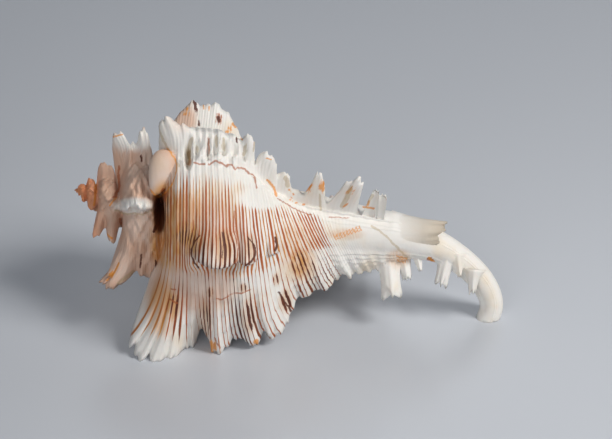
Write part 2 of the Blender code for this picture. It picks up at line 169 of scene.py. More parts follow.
def fin_table(rows, turn):
    """Middle, half width and height in cord units, and the position and lean, of each fin of a row.

    A row gives where the fin's foot and tip are seen in the front view, its angle and half width.
    """
    table = []
    for foot, tip, phi, half in rows:
        back = (phi - LIP_ANGLE) % 360.0 + 360.0 * turn
        scale = math.exp(GROWTH * math.radians(195.0 - back))
        foot_x, foot_r = seen_ray(*foot, phi)
        tip_x, tip_r = seen_ray(*tip, phi)
        lean = (tip_x - foot_x) / (tip_r - foot_r)
        surface, cord, _, _, _ = surface_at(np.array([foot_x]), np.array([float(phi)]), False)
        height = (tip_r - float(surface[0])) / scale
        table.append((float(cord[0]), half / scale, max(height, 2.0), back, lean))
    return sorted(table)


def fin_field(u, back, table, rise, drop, power=1.7):
    """Relief of a row of fins and its sideways share, in cord units."""
    middles, _, _, backs, leans = (np.array(column) for column in zip(*table))
    top = np.zeros_like(u)
    for middle, half, height, _, _ in table:
        shape = np.exp(-np.abs((u - middle) / half) ** 3.0)
        jags = 0.09 * waves(u, 0.62 * half, middle) + 0.05 * waves(u, 2.9, 0.2)
        jags = 1.0 + jags * smooth(shape, 0.3, 0.9)
        top = np.maximum(top, height * shape * jags)
    sheet = ridge(back, np.interp(u, middles, backs), rise, drop, power)
    top = top * smooth(u, 89.0, 97.0)
    return top * sheet, top * sheet**2.2 * np.interp(u, middles, leans)


def waist(u, back):
    """The narrowing of the last whorl between its last two varices."""
    return -25.0 * hump(u, 84, 236, 0.6) * hump(back, 12.0, 106.0, 0.7)


def last_whorl(u, back, fins):
    """Relief of the last whorl, its sideways share in cord units, and its swing about the axis in degrees."""
    edge = from_table(u, SKIRT_EDGE)
    mouth = (20.0 * hump(u, 88, 300, 0.6) + frill(u, 88, 300)) * ridge(back, 3.0, 46.0, 6.0)
    hidden_knob = 0.6 * peaks(u) * ridge(back, 48.0, 26.0, 6.0)
    skirt_height = 12.5 * hump(u, 70, 238, 0.5) + 12.0 * hump(u, 205, 345, 0.6)
    skirt = (skirt_height + 0.7 * frill(u, 80, 340)) * ridge(back, edge, 50.0, 9.0)
    knob = knob_lobes(u, back, KNOB_EDGE, 34.0) * ridge(back, KNOB_EDGE, 34.0, 4.0, 2.0)
    crest = (19.0 * hump(u, 84, 250, 0.45) + 0.5 * frill(u, 100, 250)) * ridge(back, 243.0, 40.0, 15.0)
    peak = (peaks(u) + 0.5 * frill(u, 100, 196)) * ridge(back, 287.0, 42.0, 6.0)
    slot = -9.0 * hump(u, 262, 470) * np.exp(-(((back - 347.0) / 9.0) ** 2))
    total = mouth + hidden_knob + waist(u, back) + skirt + knob + crest + peak + slot
    if not fins:
        return total, np.zeros_like(total), np.zeros_like(total)
    skirt_fins, skirt_shift = fin_field(u, back, SKIRT_TABLE, 34.0, 6.0)
    crest_fins, crest_shift = fin_field(u, back, CREST_TABLE, 17.0, 9.0, 1.3)
    mouth_fins, mouth_shift = fin_field(u, back, MOUTH_TABLE, 36.0, 6.0, 1.5)
    swing = mouth_fins * ridge(back, 3.0, 36.0, 6.0, 1.5) * from_table(u, MOUTH_SWING)
    return total + skirt_fins + crest_fins + mouth_fins, skirt_shift + crest_shift + mouth_shift, swing


def fine_relief(u, back):
    """What the plain solid leaves out: thin lips, growth steps and the swelling of the cords."""
    thin_lip = 3.0 * np.exp(-(((back - 227.0 - 1.2 * waves(u, 12.0)) / 1.5) ** 2)) * hump(u, 104, 330, 0.3)
    cords = 0.45 * waves(u, 7.2) * smooth(back, 90.0, 110.0)
    cords = cords * (1.0 - smooth(u, 230.0, 270.0)) * (1.0 - 0.7 * smooth(back, 258.0, 272.0))
    steps = 0.0
    for place, height in ((119, 1.0), (126, 1.3), (133, 0.8), (141, 0.7), (205, 0.4), (214, 0.4)):
        edge = place + 1.4 * ripple(u, place)
        steps = steps + height * ridge(back, edge, 9.0, 1.2, 1.2)
    return (thin_lip + cords + steps) * smooth(u, 92.0, 104.0)


def older_whorl(u, back, fins):
    """Relief of the whorls of the spire and its sideways share, in cord units."""
    crown = hump(u, 90, 182, 0.6)
    total = -26.0 * hump(u, 160, 190, 1.0)
    wrinkles = 2.4 * waves(u, 37.0, 0.2) + 1.6 * waves(u, 19.0) + 0.7 * waves(u, 9.0, 0.4)
    wrinkles = wrinkles * hump(u, 94, 182, 0.7)
    for front, height, rise in ((477, 36, 58), (549, 30, 44), (612, 28, 46), (664, 20, 40)):
        edge = front + 2.6 * waves(u, 33.0, 0.1) + 1.2 * waves(u, 15.0)
        total = total + (height * crown + wrinkles) * ridge(back, edge, rise, 8.0)
    for front in range(725, 2400, 62):
        edge = front + 3.0 * waves(u, 41.0, 0.01 * front)
        total = total + (24.0 * crown + wrinkles) * ridge(back, edge, 44.0, 9.0)
    if not fins:
        return total, np.zeros_like(total)
    lumps = 3.0 * waves(u, 23.0, 0.1) * waves(back, 21.0) + 1.8 * waves(u, 13.0) * waves(back, 13.0, 0.3)
    total = total + lumps * hump(u, 96, 182, 0.5)
    shift = np.zeros_like(total)
    for table in (SPIRE_TOP, SPIRE_LOW, INNER_TOP, INNER_LOW):
        relief, sideways = fin_field(u, back, table, 34.0, 12.0)
        total = total + relief
        shift = shift + sideways
    return total, shift


def front_lumps(x, phi, r):
    """Lumps and hollows placed where they are seen in the front view."""
    turn = np.radians(phi)
    across = APEX[0] + AXIS[0] * x + RAISED[0] * r * np.sin(turn)
    down = APEX[1] - AXIS[1] * x - RAISED[1] * r * np.sin(turn)
    front = smooth(np.cos(turn), -0.05, 0.25)
    total = np.zeros_like(r)
    for middle_across, middle_down, half_across, half_down, rise in FRONT_LUMPS:
        distance = ((across - middle_across) / half_across) ** 2 + ((down - middle_down) / half_down) ** 2
        total = total + rise * np.clip(1.0 - distance, 0.0, 1.0) ** 1.3
    return total * front


def surface_at(x, phi, fins=True):
    """Distance from the coiling axis, cord coordinate, degrees behind the lip, sideways shift and swing."""
    outermost = np.zeros((5, len(phi)))
    outermost[0] = 1.0
    for turn in range(7):
        back = (phi - LIP_ANGLE) % 360.0 + 360.0 * turn
        scale = np.exp(GROWTH * np.radians(195.0 - back))
        if turn == 0:
            u = x / scale
            scale = scale + (1.0 - scale) * smooth(u, 215.0, 300.0)
            lean = 15.0 * ridge(back, 100.0, 75.0, 10.0) * (1.0 - smooth(x, 100.0, 150.0))
            u = x / scale + lean
            relief, shift, turned = last_whorl(u, back, fins)
            if fins:
                relief = relief + fine_relief(u, back)
            base = from_table(u, PROFILE)
            canal = from_table(x, CANAL_RADIUS)
            base = base + (canal / scale - base) * smooth(x, CANAL_START - 30.0, CANAL_START)
        else:
            u = x / scale
            relief, shift = older_whorl(u, back, fins)
            turned = np.zeros_like(relief)
            base = from_table(u, SPIRE_PROFILE)
        whorl = np.where(u >= SUTURE, scale * (base + relief), 0.0)
        found = np.stack([whorl, u, back, scale * shift, turned])
        outermost = np.where(whorl > outermost[0], found, outermost)
    if fins:
        outermost[0] = np.maximum(outermost[0] + front_lumps(x, phi, outermost[0]), 1.0)
    return outermost


def grid_point(across, down, near):
    """(along, up, near) in the front view, from the apex."""
    return (across - APEX[0], APEX[1] - down, near)


def seen_ray(across, down, phi):
    """Station and radius of the point seen at (across, down) that stands at angle phi about the axis."""
    flat = np.array(grid_point(across, down, 0.0))
    return float(np.dot(flat, AXIS)), float(np.dot(flat, RAISED)) / math.sin(math.radians(phi))


def shell_point(x, phi, r):
    turn = math.radians(phi)
    return AXIS * x + r * (NEAR * math.cos(turn) + RAISED * math.sin(turn))


def to_world(points):
    """Front-view grid points turned into the resting pose, in metres."""
    points = np.asarray(points, float)
    along, up, near = points[:, 0], points[:, 1], points[:, 2]
    world = np.empty_like(points)
    world[:, 0] = along
    world[:, 1] = up * math.sin(ROLL) - near * math.cos(ROLL)
    world[:, 2] = up * math.cos(ROLL) + near * math.sin(ROLL) - REST_LEVEL
    world *= STEP
    world[:, :2] -= FOOTPRINT_CENTRE
    return world


def to_grid(world):
    """The reverse of to_world."""
    moved = np.array(world, float)
    moved[:, :2] += FOOTPRINT_CENTRE
    moved /= STEP
    depth, height = moved[:, 1], moved[:, 2] + REST_LEVEL
    grid = np.empty_like(moved)
    grid[:, 0] = moved[:, 0]
    grid[:, 1] = depth * math.sin(ROLL) + height * math.cos(ROLL)
    grid[:, 2] = height * math.sin(ROLL) - depth * math.cos(ROLL)
    return grid


def canal_curve(distance):
    """Places and directions along the canal, a smooth path through CANAL_PATH."""
    points = [np.array(grid_point(*row)) for row in CANAL_PATH]
    points.insert(0, 2 * points[0] - points[1])
    points.append(2 * points[-1] - points[-2])
    samples = []
    for i in range(1, len(points) - 2):
        before, start, end, after = points[i - 1 : i + 3]
        for t in np.linspace(0.0, 1.0, 24, endpoint=False):
            samples.append(
                0.5 * (2 * start + (end - before) * t + (2 * before - 5 * start + 4 * end - after) * t**2
                       + (3 * start - before - 3 * end + after) * t**3)
            )
    samples.append(points[-2])
    samples = np.array(samples)
    lengths = np.concatenate([[0.0], np.cumsum(np.linalg.norm(np.diff(samples, axis=0), axis=1))])
    behind, place, ahead = (
        np.array([np.interp(distance + offset, lengths, samples[:, k]) for k in range(3)]).T
        for offset in (-4.0, 0.0, 4.0)
    )
    direction = ahead - behind
    direction /= np.linalg.norm(direction, axis=1)[:, None]
    return place, direction, lengths[-1]


def square_to(direction):
    """Two unit vectors square to a direction, the first on the near side."""
    side = NEAR - direction * np.dot(NEAR, direction)
    side /= np.linalg.norm(side)
    return side, np.cross(side, direction)


def lofted(rings, first_tip, last_tip):
    """Points and faces of a closed skin over rings of points, with a single point at each end."""
    count = len(rings[0])
    points = [first_tip] + [point for ring in rings for point in ring] + [last_tip]
    faces = []
    for k in range(count):
        after = (k + 1) % count
        faces.append((0, 1 + after, 1 + k))
        for i in range(len(rings) - 1):
            low = 1 + i * count
            high = low + count
            faces.append((low + k, low + after, high + after))
            faces.append((low + k, high + after, high + k))
        last = 1 + (len(rings) - 1) * count
        faces.append((len(points) - 1, last + k, last + after))
    return points, faces


def outward(points, faces):
    """Faces turned so that the solid has a positive volume once the grid is turned into the resting pose."""
    points = np.asarray(points, float)
    corners = points[np.asarray(faces)]
    volume = np.einsum("ij,ij->i", corners[:, 0], np.cross(corners[:, 1], corners[:, 2])).sum()
    if volume > 0:
        return faces
    return [face[::-1] for face in faces]


BODY, FROND, MOUTH, STUB = 0.0, 1.0, 2.0, 3.0


def new_mesh(name, points, faces):
    mesh = bpy.data.meshes.new(name)
    mesh.from_pydata(points, [], faces)
    return mesh


def linked(name, data):
    made = bpy.data.objects.new(name, data)
    bpy.context.scene.collection.objects.link(made)
    return made


def add_object(name, points, faces, cords, zones):
    """A mesh object. Its two UV layers hold (cord, degrees behind the lip) and (zone, share of the frond)."""
    faces = outward(points, faces)
    mesh = new_mesh(name, [tuple(point) for point in to_world(points)], faces)
    corner_vertices = np.array(faces).ravel()
    for layer_name, values in (("Cords", cords), ("Zones", zones)):
        layer = mesh.uv_layers.new(name=layer_name)
        layer.data.foreach_set("uv", np.asarray(values, np.float32)[corner_vertices].ravel())
    mesh.update()
    return linked(name, mesh)


def body():
    straight = np.concatenate([np.linspace(2.0, 130.0, int(STATIONS * 0.42), endpoint=False),
                               np.linspace(130.0, CANAL_START, int(STATIONS * 0.40), endpoint=False)])
    _, _, canal_length = canal_curve(np.array([0.0]))
    bent = np.linspace(0.0, canal_length, STATIONS - len(straight))
    phis = np.linspace(0.0, 360.0, SPOKES, endpoint=False) + 0.4
    turns = np.radians(phis)
    rings = []
    cords = [(0.0, 2400.0)]
    for x in straight:
        r, cord, back, shift, swing = surface_at(np.full_like(phis, x), phis)
        swung = turns + np.radians(swing)
        spokes = np.cos(swung)[:, None] * NEAR + np.sin(swung)[:, None] * RAISED
        rings.append(AXIS * (x + shift)[:, None] + r[:, None] * spokes)
        cords.extend(zip(cord, back))
    places, directions, _ = canal_curve(bent)
    for distance, place, direction in zip(bent, places, directions):
        side, raised = square_to(direction)
        r, cord, back, _, _ = surface_at(np.full_like(phis, CANAL_START + distance), phis)
        rings.append(place + r[:, None] * (np.cos(turns)[:, None] * side + np.sin(turns)[:, None] * raised))
        cords.extend(zip(cord, back))
    cords.append((480.0, 180.0))
    points, faces = lofted(rings, np.zeros(3), places[-1])
    return add_object("shell_body", points, faces, cords, [(BODY, 0.0)] * len(points))


def scatter(seed):
    value = math.sin(seed * 12.9898 + 4.1) * 43758.5453
    return value - math.floor(value)


def blade(name, base, tip, lean, widths, tooth, seed, ahead, cord, back):
    """A channelled frond from base to tip, cupped towards the leading side of its varix."""
    base = np.array(base, float)
    tip = np.array(tip, float)
    bend = (base + tip) / 2 + np.array(lean, float)
    ahead = np.array(ahead, float)
    rings = []
    cords = [(cord, back)]
    zones = [(FROND, 0.0)]
    across = np.linspace(-1.0, 1.0, BLADE_ACROSS)
    for t in np.linspace(0.0, 1.0, BLADE_RINGS):
        spine = (1 - t) ** 2 * base + 2 * t * (1 - t) * bend + t * t * tip
        tangent = 2 * (1 - t) * (bend - base) + 2 * t * (tip - bend)
        tangent /= np.linalg.norm(tangent)
        front = ahead - tangent * np.dot(ahead, tangent)
        front /= np.linalg.norm(front)
        wide = np.cross(tangent, front)
        foot = (1.0 - t) ** 2.5
        half = widths[0] * foot + widths[1] * (1.0 - foot) + (widths[2] - widths[1]) * t**3
        depth = FROND_THICKNESS * (1.0 - 0.55 * t)
        outer = []
        inner = []
        for k, q in enumerate(across):
            jag = tooth * t**3 * (0.7 * math.cos(7.5 * q + 2.1 * seed) + 0.4 * scatter(seed * 31 + k) - 0.6)
            fold = FROND_CUP * half * (q * q - 0.4) + FROND_FLARE * t * t * half * abs(q)
            rib = 0.8 * math.cos(q * math.pi * max(2.0, half / 2.6))
            place = spine + wide * half * q + front * fold + tangent * jag
            edge = depth * (1.0 - 0.6 * q * q)
            outer.append(place - front * (edge * 0.5 + rib * 0.6))
            inner.append(place + front * edge * 0.5)
        rings.append(outer + inner[::-1])
        row = [(cord + q * half, back) for q in across]
        cords.extend(row + row[::-1])
        zones.extend([(FROND, t)] * (2 * len(across)))
    cords.append((cord, back))
    zones.append((FROND, 1.0))
    points, faces = lofted(rings, np.mean(rings[0], axis=0), np.mean(rings[-1], axis=0))
    return add_object(name, points, faces, cords, zones)


def leading(phi):
    turn = math.radians(phi)
    return NEAR * math.sin(turn) - RAISED * math.cos(turn)


def from_front(across, down, phi):
    """The grid point seen at (across, down) in the front view that stands at angle phi about the axis."""
    x, r = seen_ray(across, down, phi)
    return shell_point(x, phi, r)


SKIRT_EDGE = ((90, 119), (130, 114), (190, 112), (230, 108), (270, 106))
# Each row: seen foot (across, down), seen tip (across, down), angle about the axis, half width.
SKIRT_FINS = (
    ((166, 290), (132, 350), -75, 13), ((178, 292), (158, 360), -75, 13), ((196, 306), (192, 348), -86, 5),
    ((222, 310), (220, 353), -78, 12), ((240, 306), (246, 338), -78, 7), ((252, 302), (266, 346), -78, 12),
    ((268, 296), (279, 322), -79, 5), ((276, 286), (300, 335), -78, 12), ((290, 272), (316, 318), -79, 7),
    ((330, 262), (347, 288), -83, 6), ((348, 258), (366, 281), -83, 6),
)
CREST_FINS = (
    ((172, 165), (158, 121), 46, 9), ((182, 160), (172, 126), 47, 9), ((200, 158), (203, 137), 50, 5),
    ((219, 158), (220, 136), 50, 5), ((233, 160), (240, 138), 50, 6), ((247, 166), (257, 139), 48, 7),
    ((266, 182), (277, 159), 45, 9), ((282, 193), (289, 175), 44, 6), ((298, 204), (302, 194), 44, 5),
    ((314, 206), (319, 174), 44, 5), ((343, 208), (357, 181), 44, 9),
)
SPIRE_TOP_FINS = (
    ((126, 160), (119, 136), 62, 7), ((135, 158), (133, 144), 62, 6), ((146, 160), (145, 131), 64, 7),
)
SPIRE_LOW_FINS = (((130, 252), (111, 282), -70, 7), ((149, 254), (147, 270), -72, 5))
INNER_TOP_FINS = (((104, 180), (99, 163), 62, 5), ((111, 182), (111, 166), 62, 5))
INNER_LOW_FINS = (((100, 214), (95, 231), -62, 6), ((114, 224), (115, 241), -66, 5))
# Each row: seen middle (across, down), half width and height there, rise.
FRONT_LUMPS = (
    (140, 176, 18, 22, 5), (136, 236, 16, 24, 4), (138, 205, 26, 8, 8), (127, 168, 7, 9, 4),
    (146, 180, 8, 9, 4), (133, 186, 7, 8, 3), (151, 206, 7, 6, 4), (124, 204, 6, 6, 4),
    (128, 226, 7, 12, 3), (145, 246, 6, 14, 3), (104, 186, 6, 6, 3), (112, 200, 6, 8, 3),
    (103, 206, 5, 7, 3), (109, 196, 11, 15, 4), (114, 231, 8, 13, 6), (96, 224, 8, 9, 4),
    (84, 190, 6, 7, 2), (192, 154, 5, 20, -15), (200.5, 148, 3.6, 10, -11), (211.5, 150, 2.4, 14, -11),
    (218, 149, 3.6, 11, -10), (226, 150, 3.6, 11, -11), (236, 150, 3.8, 11, -10),
    (246.5, 154, 3.8, 11, -11), (256, 155, 4.2, 12, -11), (205, 158, 6, 8, 5), (222, 160, 9, 7, 5),
    (240, 162, 9, 7, 5), (275.5, 246, 5, 9, 4), (293, 194, 6, 6, 2.5), (303, 199, 5, 5, 2.5),
    (281, 200, 8, 7, 3), (161.5, 214, 5.0, 26, -34), (87, 181, 5, 5, 4), (80, 188, 4, 4, 3),
    (84, 199, 5, 5, 3), (91, 191, 5, 6, 3), (92, 205, 6, 6, 4), (88, 212, 5, 5, 3),
)

SKIRT_FRONDS = (
    ((386, 246), -78, (392, 296), -82, (23, 8, 11), 8.0),
    ((399, 252), -88, (408, 280), -92, (14, 6, 5), 4.0),
    ((414, 250), -84, (420, 271), -84, (11, 4, 2), 2.0),
    ((448, 256), -88, (441, 285), -92, (17, 6, 7), 9.0),
    ((456, 262), -84, (460, 277), -86, (11, 4, 2), 3.0),
    ((473, 277), -88, (472, 294), -92, (12, 4, 4), 6.0),
)
SPIRE_FRONDS = (
    ((140, 254), -70, (106, 283), -74, (12, 8, 6), 6.0),
)
CREST_FRONDS = (
    ((369, 214), 38, (375, 191), 46, (9, 6, 3), 2.0),
    ((379, 214), 38, (382, 195), 46, (5, 5, 4), 2.0),
)
# Each row: cord at the middle, half width and height in cord units, degrees behind the lip, lean.
MOUTH_TABLE = (
    (97, 6.5, 40, 3, -0.25), (112, 4, 22, 3, -0.2), (127, 7, 43, 3, -0.15), (143, 4, 22, 3, -0.1),
    (158, 7, 41, 3, 0.0), (174, 4, 24, 3, 0.05), (190, 6, 34, 3, 0.1), (206, 4, 22, 3, 0.15),
    (226, 6.5, 34, 3, 0.2), (252, 6, 24, 3, 0.25), (280, 6, 16, 3, 0.3), (304, 6, 9, 3, 0.3),
)
MOUTH_SWING = ((90, 0.55), (170, 0.6), (220, 0.8), (300, 1.0))

SKIRT_TABLE = fin_table(SKIRT_FINS, 0)
CREST_TABLE = fin_table(CREST_FINS, 0)
SPIRE_TOP = fin_table(SPIRE_TOP_FINS, 1)
SPIRE_LOW = fin_table(SPIRE_LOW_FINS, 1)
INNER_TOP = fin_table(INNER_TOP_FINS, 2)
INNER_LOW = fin_table(INNER_LOW_FINS, 2)


def frond_row(name, rows):
    made = []
    for i, (base, base_phi, tip, tip_phi, widths, tooth) in enumerate(rows):
        root = from_front(*base, base_phi)
        end = from_front(*tip, tip_phi)
        x = float(np.dot(root, AXIS))
        _, cord, back, _, _ = surface_at(np.array([x]), np.array([float(base_phi)]))
        from_axis = root - AXIS * x
        root = root - from_axis * (ROOT_DEPTH / np.linalg.norm(from_axis))
        out = from_axis * 0.05
        made.append(
            blade(f"{name}_{i}", root, end, out, widths, tooth, i + 3, leading(base_phi),
                  float(cord[0]), float(back[0]))
        )
    return made


def shoulder_lobe():
    """A smooth egg, turned in the front view."""
    half_long, half_wide, half_deep = LOBE_SIZES
    centre = from_front(*LOBE_PLACE)
    turn = math.radians(LOBE_TURNED)
    long = np.array([math.cos(turn), math.sin(turn), 0.0])
    wide = np.array([-math.sin(turn), math.cos(turn), 0.0])
    rings = []
    shares = np.linspace(0.0, math.pi, 22)[1:-1]
    for share in shares:
        place = centre + long * (-math.cos(share) * half_long)
        size = math.sin(share) ** 0.85 * (1.0 - 0.36 * math.cos(share)) * (1.0 - 0.2 * math.exp(-3.0 * share))
        angles = np.linspace(0.0, 2 * math.pi, 40, endpoint=False)
        spokes = [wide * half_wide * math.cos(a) + NEAR * half_deep * math.sin(a) for a in angles]
        rings.append([place + size * spoke for spoke in spokes])
    points, faces = lofted(rings, centre - long * half_long, centre + long * half_long)
    count = len(points)
    return add_object("shoulder_lobe", points, faces, [LOBE_CORD] * count, [(BODY, 0.0)] * count)


def old_canal():
    """The broken end of an earlier canal, a tube open at its end."""
    start = np.array(grid_point(*OLD_CANAL_START))
    end = np.array(grid_point(*OLD_CANAL_END))
    shares = (0.0, 0.12, 0.25, 0.5, 0.75, 1.0, 1.0, 0.8, 0.62)
    radii = (12, 20, 22, 19, 14.5, 11.5, 9.5, 8.5, 5.0)
    direction = (end - start) / np.linalg.norm(end - start)
    side, raised = square_to(direction)
    turns = np.linspace(0.0, 2 * math.pi, 48, endpoint=False)
    rings = []
    zones = [(STUB, 0.0)]
    for share, radius in zip(shares, radii):
        place = start + (end - start) * share
        spokes = [math.cos(a) * side + math.sin(a) * raised for a in turns]
        ragged = 4.0 * np.sin(turns) - 3.0 + 1.3 * np.sin(5 * turns) + 0.9 * np.sin(11 * turns + 1.0)
        ragged = share**6 * ragged
        rings.append([place + radius * spoke + direction * push for spoke, push in zip(spokes, ragged)])
        zones.extend([(STUB, share)] * len(turns))
    zones.append((STUB, 0.6))
    points, faces = lofted(rings, start, start + (end - start) * shares[-1])
    return add_object("old_canal", points, faces, [(300.0, 200.0)] * len(points), zones)


def mouth_cutter():
    """The hollow behind the mouth: a section between the older whorl and the inside of the outer wall."""
    rings = []
    backs = (-26.0, -12.0, -2.0, 12.0, 30.0, 50.0, 72.0, 94.0, 116.0, 136.0)
    shrink = (1.0, 1.0, 1.0, 0.97, 0.93, 0.87, 0.78, 0.66, 0.5, 0.3)
    u = np.linspace(103.0, 214.0, 22)
    for back, ratio in zip(backs, shrink):
        scale = math.exp(GROWTH * math.radians(195.0 - max(back, 0.0)))
        inner_scale = scale * math.exp(-GROWTH * 2 * math.pi)
        outer = scale * (from_table(u, PROFILE) + waist(u, back)) - MOUTH_WALL
        inner_u = u * scale / inner_scale
        inner = inner_scale * from_table(inner_u, PROFILE) + 3.5
        inner = np.where(inner_u > 225.0, np.maximum(inner, 15.0), inner)
        outer = np.maximum(outer, inner + 6.0)
        loop = [(scale * a, b) for a, b in zip(u, outer)]
        loop += [(scale * a, b) for a, b in zip(u[::-1], inner[::-1])]
        loop = np.array(loop)
        centre = loop.mean(axis=0)
        loop = centre + (loop - centre) * ratio
        rings.append([shell_point(a, LIP_ANGLE + back, b) for a, b in loop])
    points, faces = lofted(rings, np.mean(rings[0], axis=0), np.mean(rings[-1], axis=0))
    zones = [(MOUTH, 0.0)] * len(points)
    return add_object("mouth_hollow", points, faces, [(150.0, 20.0)] * len(points), zones)


def floor_cutter():
    """A block below the resting plane: it leaves the small flats that the shell stands on."""
    size = 0.4
    corners = [(x, y, z) for z in (-size, 0.0) for y in (-size, size) for x in (-size, size)]
    faces = [(0, 2, 3, 1), (4, 5, 7, 6), (0, 1, 5, 4), (2, 6, 7, 3), (0, 4, 6, 2), (1, 3, 7, 5)]
    mesh = new_mesh("resting_plane", corners, faces)
    for layer_name in ("Cords", "Zones"):
        mesh.uv_layers.new(name=layer_name)
    return linked("resting_plane", mesh)


def combine(target, helper, operation):
    step = target.modifiers.new(helper.name, "BOOLEAN")
    step.operation = operation
    step.solver = "MANIFOLD"
    step.object = helper


def fused(fronds):
    for frond in fronds[1:]:
        combine(fronds[0], frond, "UNION")
    return fronds[0]


def fine_shell():
    """The whole skin as one mesh, with its helpers removed again."""
    before = set(bpy.data.objects)
    made = body()
    combine(made, mouth_cutter(), "DIFFERENCE")
    fronds = frond_row("skirt_frond", SKIRT_FRONDS) + frond_row("crest_frond", CREST_FRONDS)
    fronds += frond_row("spire_frond", SPIRE_FRONDS)
    fronds.append(old_canal())
    fronds.append(shoulder_lobe())
    combine(made, fused(fronds), "UNION")
    combine(made, floor_cutter(), "DIFFERENCE")
    bpy.context.view_layer.update()
    graph = bpy.context.evaluated_depsgraph_get()
    mesh = bpy.data.meshes.new_from_object(made.evaluated_get(graph))
    mesh.name = "fine_shell"
    for helper in set(bpy.data.objects) - before:
        bpy.data.objects.remove(helper, do_unlink=True)
    mesh.polygons.foreach_set("use_smooth", [True] * len(mesh.polygons))
    return linked("fine_shell", mesh)


def vertex_values(mesh, layer_name):
    """The UV pair of each vertex, from any of its corners."""
    corner_vertices = np.empty(len(mesh.loops), np.int32)
    mesh.loops.foreach_get("vertex_index", corner_vertices)
    pairs = np.empty(len(mesh.loops) * 2, np.float32)
    mesh.uv_layers[layer_name].data.foreach_get("uv", pairs)
    values = np.zeros((len(mesh.vertices), 2))
    values[corner_vertices] = pairs.reshape(-1, 2)
    return values


# Line strength and line darkness across the last varix, by cord.
SKIRT_LINES = (
    (88, 0.4), (100, 0.6), (106, 0.8), (114, 1.0), (119, 0.5), (124, 0.35), (130, 0.9), (137, 0.8),
    (142, 0.5), (152, 0.65), (158, 0.95), (165, 1.0), (169, 0.5), (174, 0.9), (184, 0.5), (195, 0.35),
    (204, 0.75), (216, 0.9), (232, 0.6), (246, 0.3), (260, 0.0),
)
SKIRT_DARKNESS = (
    (88, 0.0), (106, 0.15), (114, 0.9), (120, 0.2), (130, 0.6), (137, 0.7), (145, 0.3), (158, 0.9),
    (165, 1.0), (172, 0.7), (184, 0.3), (200, 0.5), (216, 0.9), (232, 0.8), (250, 0.2),
)
# Soft spots of colour, the dark ones painted shade: seen middle (across, down), half width and height.
SHADE_SPOTS = ((161.5, 214, 7.0, 27), (192, 156, 3, 8))
RUST_SPOTS = (
    (218, 121, 5, 7), (193, 164, 4, 5), (168, 196, 5, 9), (430, 259, 4, 4),
)
ORANGE_SPOTS = (
    (188, 111, 5, 5), (229, 130, 5, 5), (322, 186, 4, 8), (309, 189, 4, 5), (113, 273, 7, 5),
    (213, 345, 9, 9), (262, 342, 14, 7), (366, 278, 5, 5), (304, 316, 5, 6), (349, 192, 5, 7),
    (366, 202, 5, 5),
)
# Bands where the cords' lines are broad and dark.
LINE_BANDS = (
    (207, 318, 10, 26), (250, 314, 10, 26), (177, 304, 9, 18), (190, 236, 15, 11), (286, 300, 9, 16),
    (168, 206, 9, 24), (227, 246, 9, 24), (300, 262, 12, 18), (213, 290, 4, 7), (245, 286, 6, 6),
    (277, 278, 5, 8), (198, 248, 7, 17), (253, 248, 8, 20),
)
# Thin strokes of colour: half width, then the places (across, down) that the stroke runs through.
DARK_STROKES = (
    (0.7, (204, 235), (199, 241), (196, 248)), (1.0, (196, 248), (195.5, 255), (198, 261), (202, 266)),
    (0.6, (250, 236), (254, 241), (257, 247)), (1.0, (257, 247), (257, 254), (253.5, 260), (249, 263)),
    (0.5, (225.5, 232), (227, 242), (226, 257)), (1.1, (276, 237), (278, 244), (276, 250)),
    (1.6, (193.5, 98), (195, 105), (197, 113)), (1.0, (198.5, 119), (199.3, 127)),
    (1.8, (218.5, 117), (219, 123)), (1.1, (143, 156), (144, 162)), (1.0, (157.5, 260), (157.5, 268)),
    (0.8, (144, 254), (142, 267)), (0.9, (238.5, 140), (239, 145)), (1.5, (160, 222), (157, 231)),
    (1.1, (279.5, 291), (285, 301), (292, 311)), (1.1, (249, 303), (250.5, 315), (253, 327)),
)
RUST_STROKES = (
    (1.4, (121, 165), (119, 176), (121, 186), (117, 197)), (1.0, (121, 218), (121.5, 229)),
    (0.9, (211.5, 140), (211.8, 156)),
    (0.7, (237, 212), (239, 232), (241, 246), (239.5, 259), (236, 263)),
    (0.9, (198, 164.5), (203, 166), (208, 166)),
    (0.9, (213, 166), (218.5, 162.5), (224, 165), (229, 168.5)),
    (0.9, (230, 166.5), (234, 167), (237.5, 171)), (0.9, (240, 169), (246, 170), (250.5, 174.5)),
    (0.8, (252.5, 175), (256, 178), (257, 184), (258, 188.5)),
    (0.6, (278, 199), (290, 206), (301, 212), (311, 215)), (0.5, (329, 217), (348, 218)),
    (0.6, (219, 296), (224, 297.5), (231, 294)),
    (0.7, (231, 293), (237, 290.5), (243, 291.5), (252, 287.5)), (0.8, (276, 335), (277, 346)),
    (0.9, (216, 336), (222, 346)), (0.8, (175, 287), (179, 287.5)), (0.9, (173, 297), (180, 301)),
)
ORANGE_STROKES = (
    (0.7, (171, 150), (179, 160), (181, 170), (177, 185), (170, 193), (164, 196)),
    (0.7, (203.3, 104), (203.5, 110)), (0.9, (208.8, 106), (209, 113)), (1.6, (233, 124), (236, 126)),
    (1.5, (241, 132), (242.5, 138)), (0.8, (241, 139), (244, 142)), (0.8, (267, 160), (272, 161)),
    (1.2, (268, 181), (274, 187), (277, 196)), (0.8, (289, 190), (290, 190.5)),
    (0.7, (293, 194), (294, 195)), (0.9, (290, 200), (291, 200)), (0.9, (296, 203), (297, 203)),
    (1.1, (303, 205), (304, 205)), (1.0, (308, 190), (313, 184)), (0.9, (323, 187), (324.5, 178)),
    (0.9, (363, 207), (373, 208.5)), (1.0, (342, 208), (348, 203)), (1.6, (429, 258), (433, 262)),
    (1.2, (95, 178), (97, 190), (95, 205)), (0.9, (118, 198), (112, 206)), (1.0, (106, 232), (114, 238)),
    (0.9, (125, 136), (116, 138)), (1.0, (154, 190), (160, 197)),
    (1.1, (122, 262), (117, 272), (109, 280)),
)
